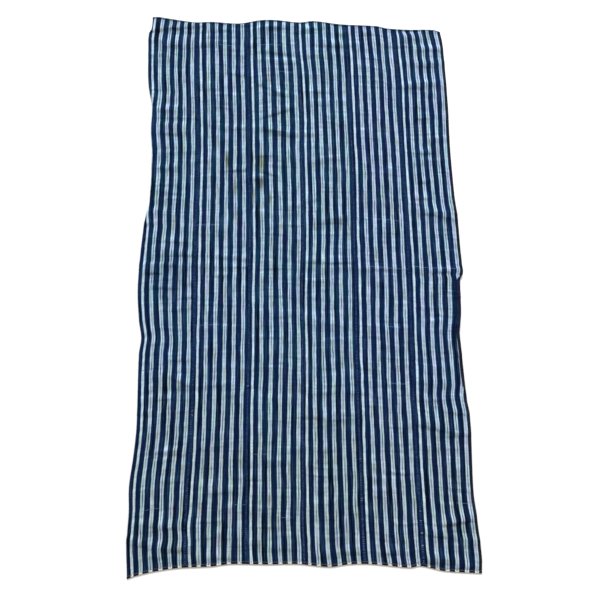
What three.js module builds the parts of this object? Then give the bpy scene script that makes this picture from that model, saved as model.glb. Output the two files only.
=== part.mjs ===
// A handwoven cotton cloth of six striped strips, sewn selvedge to selvedge and spread out on a surface.
// Millimetres. +X runs across the strips, +Y along them and +Z up. The origin is under the middle of the
// cloth, on the surface that it lies on.
import * as THREE from "three";

// The woven strips
const STRIPS = 6;
const STRIP_WIDTH = 160;
const CLOTH_LENGTH = 1640;
const CLOTH_THICKNESS = 1.5;
const SEAM_GAP = 0.3;

// The hem is the strip's own end, turned in
const HEM_WIDTH = 7;
const HEM_THICKNESS = 2.6;
const HEM_STEP = 1.5;
const HEM_ROWS = [0, HEM_WIDTH, HEM_WIDTH + HEM_STEP];

// A turned selvedge bends round this radius, and the cloth over its flap comes down again over this length
const TURN_RADIUS = 2;
const FLAP_MARGIN = 5;
const FLAP_SLOPE = 34;

// How finely a strip is divided, along it and across it, with an outer strip finer over its edge band
const STEPS_ALONG = 84;
const STEPS_ACROSS_INNER = 4;
const STEPS_ACROSS_FLAT = 5;
const STEPS_ACROSS_EDGE = 7;
const EDGE_BAND = 14;
const PROBE = 0.5;

// Indigo and white stripes, seen together from a step away
const WOVEN_BLUE = "#50667f";

// The five seams, counted from the left, at places along the cloth
const seams = [
  { y: -840, first: -311, second: -145, third: 12, fourth: 173, fifth: 332 },
  { y: -660, first: -311, second: -147, third: 8, fourth: 169, fifth: 327 },
  { y: -420, first: -305, second: -149, third: 6, fourth: 165, fifth: 322 },
  { y: -240, first: -308, second: -148, third: 5, fourth: 163, fifth: 322 },
  { y: -60, first: -311, second: -150, third: 4, fourth: 164, fifth: 324 },
  { y: 120, first: -315, second: -151, third: 9, fourth: 162, fifth: 322 },
  { y: 300, first: -316, second: -156, third: 7, fourth: 163, fifth: 319 },
  { y: 480, first: -321, second: -160, third: 4, fourth: 158, fifth: 315 },
  { y: 660, first: -332, second: -167, third: -3, fourth: 154, fifth: 313 },
  { y: 840, first: -338, second: -172, third: -11, fourth: 145, fifth: 302 },
];
const SEAM_NAMES = ["first", "second", "third", "fourth", "fifth"];

// The left edge as it shows, and how much of its selvedge is turned under: beside the far half and at its corner
const leftEdge = [
  { y: -847, x: -462, turned: 0 },
  { y: -760, x: -468, turned: 0 },
  { y: -690, x: -466, turned: 0 },
  { y: -610, x: -470, turned: 0 },
  { y: -490, x: -459, turned: 0 },
  { y: -250, x: -464, turned: 0 },
  { y: -205, x: -460, turned: 0 },
  { y: -150, x: -470, turned: 0 },
  { y: -50, x: -479, turned: 0 },
  { y: 120, x: -473, turned: 0 },
  { y: 175, x: -465, turned: 12 },
  { y: 215, x: -458, turned: 17 },
  { y: 375, x: -460, turned: 16 },
  { y: 450, x: -468, turned: 17 },
  { y: 530, x: -468, turned: 16 },
  { y: 575, x: -477, turned: 5 },
  { y: 620, x: -485, turned: 0 },
  { y: 700, x: -490, turned: 0 },
  { y: 788, x: -494, turned: 0 },
  { y: 804, x: -486, turned: 8 },
  { y: 847, x: -484, turned: 8 },
];

// The right edge as it shows, and how much of its selvedge is turned over on top
const rightEdge = [
  { y: -840, x: 485, turned: 0 },
  { y: -790, x: 488, turned: 0 },
  { y: -680, x: 480, turned: 0 },
  { y: -620, x: 476, turned: 0 },
  { y: -430, x: 479, turned: 0 },
  { y: -370, x: 472, turned: 2 },
  { y: -330, x: 469, turned: 11 },
  { y: -220, x: 464, turned: 12 },
  { y: -180, x: 463, turned: 13 },
  { y: -130, x: 470, turned: 13 },
  { y: -50, x: 472, turned: 13 },
  { y: -28, x: 474, turned: 12 },
  { y: -10, x: 482, turned: 0 },
  { y: 70, x: 480, turned: 0 },
  { y: 170, x: 477, turned: 0 },
  { y: 230, x: 472, turned: 0 },
  { y: 390, x: 467, turned: 0 },
  { y: 540, x: 468, turned: 0 },
  { y: 750, x: 462, turned: 0 },
  { y: 800, x: 455, turned: 0 },
];

// The near hem and the far hem, at places across the cloth
const nearHem = [
  { x: -462, y: -847 },
  { x: -445, y: -841 },
  { x: -400, y: -830 },
  { x: -330, y: -820 },
  { x: -240, y: -816 },
  { x: -185, y: -810 },
  { x: -90, y: -811 },
  { x: -5, y: -810 },
  { x: 75, y: -817 },
  { x: 125, y: -811 },
  { x: 185, y: -810 },
  { x: 290, y: -819 },
  { x: 325, y: -815 },
  { x: 385, y: -827 },
  { x: 485, y: -833 },
];
const farHem = [
  { x: -484, y: 847 },
  { x: -455, y: 847 },
  { x: -390, y: 836 },
  { x: -340, y: 830 },
  { x: -290, y: 832 },
  { x: -200, y: 826 },
  { x: -130, y: 838 },
  { x: -80, y: 839 },
  { x: 0, y: 830 },
  { x: 45, y: 835 },
  { x: 130, y: 823 },
  { x: 250, y: 816 },
  { x: 280, y: 808 },
  { x: 350, y: 803 },
  { x: 435, y: 802 },
  { x: 460, y: 793 },
];

// The main folds, as soft ridges: the middle of each, its reach to either side across the cloth, its width to
// either side along it, its height, and how far it climbs along the cloth for each millimetre across
const folds = [
  { x: -350, y: 752, reach: 170, width: 34, height: 3.0, climb: -0.06 },
  { x: 390, y: 604, reach: 110, width: 36, height: 3.2, climb: 0.05 },
  { x: -390, y: 450, reach: 120, width: 34, height: 3.0, climb: -0.04 },
  { x: -60, y: 452, reach: 100, width: 34, height: 4.0, climb: -0.16 },
  { x: -380, y: 330, reach: 120, width: 36, height: 3.0, climb: 0.18 },
  { x: -140, y: 290, reach: 70, width: 30, height: 3.6, climb: 0.0 },
  { x: 425, y: 178, reach: 90, width: 36, height: 4.2, climb: -0.2 },
  { x: 95, y: 160, reach: 110, width: 32, height: 3.4, climb: 0.12 },
  { x: 70, y: -158, reach: 170, width: 36, height: 3.6, climb: -0.2 },
  { x: -370, y: -326, reach: 110, width: 34, height: 3.8, climb: -0.24 },
  { x: 80, y: -420, reach: 130, width: 36, height: 4.0, climb: -0.03 },
  { x: 400, y: -446, reach: 110, width: 40, height: 4.4, climb: -0.26 },
  { x: -200, y: -618, reach: 90, width: 34, height: 3.2, climb: 0.0 },
  { x: -400, y: -712, reach: 150, width: 38, height: 4.0, climb: -0.08 },
  { x: 430, y: -700, reach: 100, width: 38, height: 4.4, climb: 0.3 },
  { x: -320, y: -764, reach: 110, width: 32, height: 3.0, climb: 0.05 },
];

// The crease across the middle, left from storing the cloth folded in half
const CREASE = { leftY: 17, rightY: -11, halfSpan: 480, width: 26, height: 3.2 };

const clamp = THREE.MathUtils.clamp;
const lerp = THREE.MathUtils.lerp;

// A smooth curve through one column of a table, read at a place in its ordering column
function readColumn(rows, ordering, column, at) {
  const last = rows.length - 1;
  let below = 0;
  while (below < last - 1 && at > rows[below + 1][ordering]) below += 1;
  const slopeAt = (row) => {
    const before = rows[Math.max(row - 1, 0)];
    const after = rows[Math.min(row + 1, last)];
    return (after[column] - before[column]) / (after[ordering] - before[ordering]);
  };
  const start = rows[below];
  const end = rows[below + 1];
  const span = end[ordering] - start[ordering];
  const f = clamp((at - start[ordering]) / span, 0, 1);
  const blend = f * f * (3 - 2 * f);
  const leaving = f * (1 - f) * (1 - f) * span * slopeAt(below);
  const arriving = f * f * (1 - f) * span * slopeAt(below + 1);
  return lerp(start[column], end[column], blend) + leaving - arriving;
}

// A soft ridge's profile: 1 at its crest and 0 from a distance of 1 outwards
function ridge(distance) {
  const q = Math.abs(distance);
  return q < 1 ? Math.cos((Math.PI / 2) * q) ** 2 : 0;
}

// How far the folds and the crease lift the cloth off the surface
function foldLift(x, y) {
  const creaseY = lerp(CREASE.leftY, CREASE.rightY, (x + CREASE.halfSpan) / (2 * CREASE.halfSpan));
  const creaseLift = CREASE.height * ridge((y - creaseY) / CREASE.width);
  return folds.reduce((sum, fold) => {
    const crest = fold.y + fold.climb * (x - fold.x);
    return sum + fold.height * ridge((x - fold.x) / fold.reach) * ridge((y - crest) / fold.width);
  }, creaseLift);
}

// How far the cloth reaches and rises, and how long its flap is, once it runs on past the start of a turn
function turn(past) {
  const angle = Math.min(past / TURN_RADIUS, Math.PI);
  const flap = Math.max(past - Math.PI * TURN_RADIUS, 0);
  return { out: TURN_RADIUS * Math.sin(angle) - flap, rise: TURN_RADIUS * (1 - Math.cos(angle)), flap };
}

// Where the cloth's middle layer lies in a section at y, for a distance from the strip's left side
function inSection(strip, distance, y) {
  const onLeft = strip === 0;
  const onRight = strip === STRIPS - 1;
  const seamX = (index) => readColumn(seams, "y", SEAM_NAMES[index], y);
  if (!onLeft && !onRight) {
    const x = lerp(seamX(strip - 1) + SEAM_GAP / 2, seamX(strip) - SEAM_GAP / 2, distance / STRIP_WIDTH);
    return { x, z: 0 };
  }

  // An outer strip is measured from its seam outwards
  const edge = onLeft ? leftEdge : rightEdge;
  const outwards = onLeft ? -1 : 1;
  const fromSeam = onLeft ? STRIP_WIDTH - distance : distance;
  const start = (onLeft ? seamX(0) : seamX(STRIPS - 2)) + (outwards * SEAM_GAP) / 2;
  const turned = Math.max(readColumn(edge, "y", "turned", y), 0);
  const whole = turn(turned);
  const bulge = turn(Math.min(turned, (Math.PI / 2) * TURN_RADIUS)).out;
  const bendX = readColumn(edge, "y", "x", y) - outwards * bulge;
  const flat = STRIP_WIDTH - turned;
  const here = turn(Math.max(fromSeam - flat, 0));
  const x = lerp(start, bendX, Math.min(fromSeam / flat, 1)) + outwards * here.out;
  if (onRight) return { x, z: here.rise };

  // Turned under, the cloth over the flap is lifted and comes down again further in
  const slopeEnd = flat - whole.flap - FLAP_MARGIN;
  const lifted = THREE.MathUtils.smoothstep(fromSeam, slopeEnd - FLAP_SLOPE, slopeEnd);
  return { x, z: whole.rise * lifted - here.rise };
}

// How many steps a strip has across it
function stepsAcross(strip) {
  const inner = strip > 0 && strip < STRIPS - 1;
  return inner ? STEPS_ACROSS_INNER : STEPS_ACROSS_FLAT + STEPS_ACROSS_EDGE;
}

// The distance of a station from the strip's left side: an outer strip has its last stations on its selvedge
function distanceAcross(strip, station, y) {
  const steps = stepsAcross(strip);
  if (steps === STEPS_ACROSS_INNER) return (STRIP_WIDTH * station) / steps;
  const edge = strip === 0 ? leftEdge : rightEdge;
  const band = Math.max(readColumn(edge, "y", "turned", y), EDGE_BAND);
  const outer = strip === 0 ? steps - station : station;
  const flatShare = Math.min(outer / STEPS_ACROSS_FLAT, 1);
  const edgeShare = Math.max((outer - STEPS_ACROSS_FLAT) / STEPS_ACROSS_EDGE, 0);
  const fromSeam = (STRIP_WIDTH - band) * flatShare + band * edgeShare;
  return strip === 0 ? STRIP_WIDTH - fromSeam : fromSeam;
}

// The distance of a row from the near hem: each hem has its own rows, and the rest are even
function distanceAlong(row) {
  const fromEnd = Math.min(row, STEPS_ALONG - row);
  if (fromEnd < HEM_ROWS.length) return row === fromEnd ? HEM_ROWS[fromEnd] : CLOTH_LENGTH - HEM_ROWS[fromEnd];
  const inner = HEM_ROWS.length - 1;
  const share = (row - inner) / (STEPS_ALONG - 2 * inner);
  return lerp(HEM_ROWS[inner], CLOTH_LENGTH - HEM_ROWS[inner], share);
}

// Where a row crosses a strip, between the near hem and the far hem
function rowY(strip, share, row) {
  const nearX = inSection(strip, share * STRIP_WIDTH, nearHem[0].y).x;
  const farX = inSection(strip, share * STRIP_WIDTH, farHem[0].y).x;
  const nearY = readColumn(nearHem, "x", "y", nearX);
  const farY = readColumn(farHem, "x", "y", farX);
  return lerp(nearY, farY, distanceAlong(row) / CLOTH_LENGTH);
}

// One point on the cloth's face (side 1) or back (side -1), square to the section
function clothPoint(strip, station, row, side) {
  const y = rowY(strip, station / stepsAcross(strip), row);
  const distance = distanceAcross(strip, station, y);
  const middle = inSection(strip, distance, y);
  const before = inSection(strip, Math.max(distance - PROBE, 0), y);
  const after = inSection(strip, Math.min(distance + PROBE, STRIP_WIDTH), y);
  const [runX, runZ] = [after.x - before.x, after.z - before.z];
  const run = Math.hypot(runX, runZ);
  const inHem = Math.min(distanceAlong(row), CLOTH_LENGTH - distanceAlong(row)) <= HEM_WIDTH;
  const half = (inHem ? HEM_THICKNESS : CLOTH_THICKNESS) / 2;
  const lift = half + foldLift(middle.x, y);
  return [middle.x - (side * half * runZ) / run, y, middle.z + lift + (side * half * runX) / run];
}

// One woven strip: a thin box, divided across and along, with each of its points laid on the cloth
function wovenStrip(strip) {
  const across = stepsAcross(strip);
  const geometry = new THREE.BoxGeometry(1, 1, 1, across, STEPS_ALONG, 1);
  const place = geometry.attributes.position;
  for (let i = 0; i < place.count; i += 1) {
    const station = Math.round((place.getX(i) + 0.5) * across);
    const row = Math.round((place.getY(i) + 0.5) * STEPS_ALONG);
    place.setXYZ(i, ...clothPoint(strip, station, row, Math.sign(place.getZ(i))));
  }
  geometry.computeVertexNormals();
  const material = new THREE.MeshStandardMaterial({ color: WOVEN_BLUE, roughness: 0.95, metalness: 0 });
  const mesh = new THREE.Mesh(geometry, material);
  mesh.name = `strip_${strip + 1}`;
  return mesh;
}

const cloth = new THREE.Group();
for (let strip = 0; strip < STRIPS; strip += 1) cloth.add(wovenStrip(strip));

export default cloth;
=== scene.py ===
import math
import random
from collections import namedtuple

import bmesh
import bpy
import numpy as np
from mathutils import Euler, Matrix, Vector


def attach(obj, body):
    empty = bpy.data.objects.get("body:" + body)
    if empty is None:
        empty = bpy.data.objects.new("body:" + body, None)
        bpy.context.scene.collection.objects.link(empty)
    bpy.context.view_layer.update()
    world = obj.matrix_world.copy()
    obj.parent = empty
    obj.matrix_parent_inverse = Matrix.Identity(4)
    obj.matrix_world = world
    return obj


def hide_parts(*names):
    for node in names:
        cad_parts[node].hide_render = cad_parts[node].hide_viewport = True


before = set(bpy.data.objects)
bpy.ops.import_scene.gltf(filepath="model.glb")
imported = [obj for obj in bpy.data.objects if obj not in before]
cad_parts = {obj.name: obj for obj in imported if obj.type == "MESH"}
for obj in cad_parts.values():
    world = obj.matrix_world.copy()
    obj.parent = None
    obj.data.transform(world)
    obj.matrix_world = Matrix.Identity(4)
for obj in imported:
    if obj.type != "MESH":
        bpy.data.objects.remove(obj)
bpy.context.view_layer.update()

# A handwoven cotton cloth of six indigo and white strips, sewn selvedge to selvedge, spread out on a floor.
# Tables and sizes are in millimetres, with X across the strips, Y along them and Z up. Meshes are in metres.
MM = 0.001

# The camera: a 28 mm lens 1.35 m above the floor, a little nearer the near hem, tipped towards the far one
CAMERA_PLACE = (0.0, -325.0, 1352.7)
CAMERA_TILT = 9.77
CAMERA_LENS = 28.0
CAMERA_SENSOR = 36.0


def make_camera():
    data = bpy.data.cameras.new("camera")
    data.lens = CAMERA_LENS
    data.sensor_width = CAMERA_SENSOR
    camera = bpy.data.objects.new("camera", data)
    camera.location = Vector(CAMERA_PLACE) * MM
    camera.rotation_euler = Euler((math.radians(CAMERA_TILT), 0, 0))
    bpy.context.scene.collection.objects.link(camera)
    bpy.context.scene.camera = camera


make_camera()

# The woven strips, as in the CAD source
STRIPS = 6
STRIP_WIDTH = 160.0
CLOTH_LENGTH = 1640.0
SEAM_GAP = 0.3
CLOTH_THICKNESS = 1.2
TURN_RADIUS = 1.6
FLAP_MARGIN = 5.0
FLAP_SLOPE = 34.0

Seams = namedtuple("Seams", "y first second third fourth fifth")
SEAMS = [
    Seams(-840, -311, -145, 12, 173, 332),
    Seams(-660, -311, -147, 8, 169, 327),
    Seams(-420, -305, -149, 6, 165, 322),
    Seams(-240, -308, -148, 5, 163, 322),
    Seams(-60, -311, -150, 4, 164, 324),
    Seams(120, -315, -151, 9, 162, 322),
    Seams(300, -316, -156, 7, 163, 319),
    Seams(480, -321, -160, 4, 158, 315),
    Seams(660, -332, -167, -3, 154, 313),
    Seams(840, -338, -172, -11, 145, 302),
]

# The outer edges as they show, and how much selvedge is turned: under on the left, over on the right
Edge = namedtuple("Edge", "y x turned")
LEFT_EDGE = [
    Edge(-847, -462, 0),
    Edge(-760, -468, 0),
    Edge(-690, -466, 0),
    Edge(-610, -470, 0),
    Edge(-490, -459, 0),
    Edge(-250, -464, 0),
    Edge(-205, -460, 0),
    Edge(-150, -470, 0),
    Edge(-50, -479, 0),
    Edge(120, -473, 0),
    Edge(175, -465, 12),
    Edge(215, -458, 17),
    Edge(375, -460, 16),
    Edge(450, -468, 17),
    Edge(530, -468, 16),
    Edge(575, -477, 5),
    Edge(620, -485, 0),
    Edge(700, -490, 0),
    Edge(788, -494, 0),
    Edge(804, -486, 8),
    Edge(847, -484, 8),
]
RIGHT_EDGE = [
    Edge(-840, 485, 0),
    Edge(-790, 488, 0),
    Edge(-680, 480, 0),
    Edge(-620, 476, 0),
    Edge(-430, 479, 0),
    Edge(-370, 472, 2),
    Edge(-330, 469, 11),
    Edge(-220, 464, 12),
    Edge(-180, 463, 13),
    Edge(-130, 470, 13),
    Edge(-50, 472, 13),
    Edge(-28, 474, 12),
    Edge(-10, 482, 0),
    Edge(70, 480, 0),
    Edge(170, 477, 0),
    Edge(230, 472, 0),
    Edge(390, 467, 0),
    Edge(540, 468, 0),
    Edge(750, 462, 0),
    Edge(800, 455, 0),
]

# The hems, at places across the cloth
Hem = namedtuple("Hem", "x y")
NEAR_HEM = [
    Hem(-462, -847),
    Hem(-445, -841),
    Hem(-400, -830),
    Hem(-330, -820),
    Hem(-240, -816),
    Hem(-185, -810),
    Hem(-90, -811),
    Hem(-5, -810),
    Hem(75, -817),
    Hem(125, -811),
    Hem(185, -810),
    Hem(290, -819),
    Hem(325, -815),
    Hem(385, -827),
    Hem(485, -833),
]
FAR_HEM = [
    Hem(-484, 847),
    Hem(-455, 847),
    Hem(-390, 836),
    Hem(-340, 830),
    Hem(-290, 832),
    Hem(-200, 826),
    Hem(-130, 838),
    Hem(-80, 839),
    Hem(0, 830),
    Hem(45, 835),
    Hem(130, 823),
    Hem(250, 816),
    Hem(280, 808),
    Hem(350, 803),
    Hem(435, 802),
    Hem(460, 793),
]

# The main folds, as soft ridges, as in the CAD source, where the crease across the middle is broader
Fold = namedtuple("Fold", "x y reach width height climb")
FOLDS = [
    Fold(-350, 752, 170, 34, 3.0, -0.06),
    Fold(390, 604, 110, 36, 3.2, 0.05),
    Fold(-390, 450, 120, 34, 3.0, -0.04),
    Fold(-60, 452, 100, 34, 4.0, -0.16),
    Fold(-380, 330, 120, 36, 3.0, 0.18),
    Fold(-140, 290, 70, 30, 3.6, 0.0),
    Fold(425, 178, 90, 36, 4.2, -0.2),
    Fold(95, 160, 110, 32, 3.4, 0.12),
    Fold(70, -158, 170, 36, 3.6, -0.2),
    Fold(-370, -326, 110, 34, 3.8, -0.24),
    Fold(80, -420, 130, 36, 4.0, -0.03),
    Fold(400, -446, 110, 40, 4.4, -0.26),
    Fold(-200, -618, 90, 34, 3.2, 0.0),
    Fold(-400, -712, 150, 38, 4.0, -0.08),
    Fold(430, -700, 100, 38, 4.4, 0.3),
    Fold(-320, -764, 110, 32, 3.0, 0.05),
]
CREASE_LEFT_Y = 14.0
CREASE_RIGHT_Y = -2.0
CREASE_HALF_SPAN = 480.0
CREASE_WIDTH = 16.0
CREASE_HEIGHT = 1.5

# Where stripes sway sideways on their way along the cloth
Sway = namedtuple("Sway", "x y reach width shift")
SWAYS = [
    Sway(-340, -830, 170, 60, 4.5),
    Sway(-90, -830, 130, 60, 3.5),
    Sway(105, -830, 110, 70, 5.5),
    Sway(250, -830, 100, 70, 4.5),
    Sway(150, -655, 26, 60, -3.5),
    Sway(-355, -745, 70, 35, 2.5),
    Sway(-300, -715, 60, 40, -2.5),
    Sway(425, -745, 70, 40, 1.2),
    Sway(-325, -775, 50, 40, 2.0),
    Sway(285, -720, 50, 50, -1.5),
    Sway(-170, -610, 60, 50, 2.0),
    Sway(-440, -510, 60, 60, -1.8),
    Sway(-30, -700, 70, 70, -3.0),
    Sway(95, -310, 70, 80, 2.2),
    Sway(-360, -280, 90, 130, 2.5),
    Sway(-42, -225, 85, 380, 5.7),
    Sway(258, -150, 80, 90, -3.0),
    Sway(395, -90, 60, 90, -2.5),
    Sway(470, -4, 30, 22, 2.0),
    Sway(100, 120, 70, 80, 2.0),
    Sway(-25, 380, 60, 110, -3.0),
    Sway(-440, 465, 60, 70, 2.5),
    Sway(-90, 680, 60, 110, -1.8),
    Sway(45, 710, 80, 80, -2.5),
    Sway(285, 700, 50, 90, -2.5),
    Sway(-40, 770, 150, 150, -4.5),
    Sway(350, 800, 60, 26, -3.5),
    Sway(425, 795, 42, 70, -3.0),
    Sway(-420, 835, 120, 190, 7.0),
]

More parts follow.
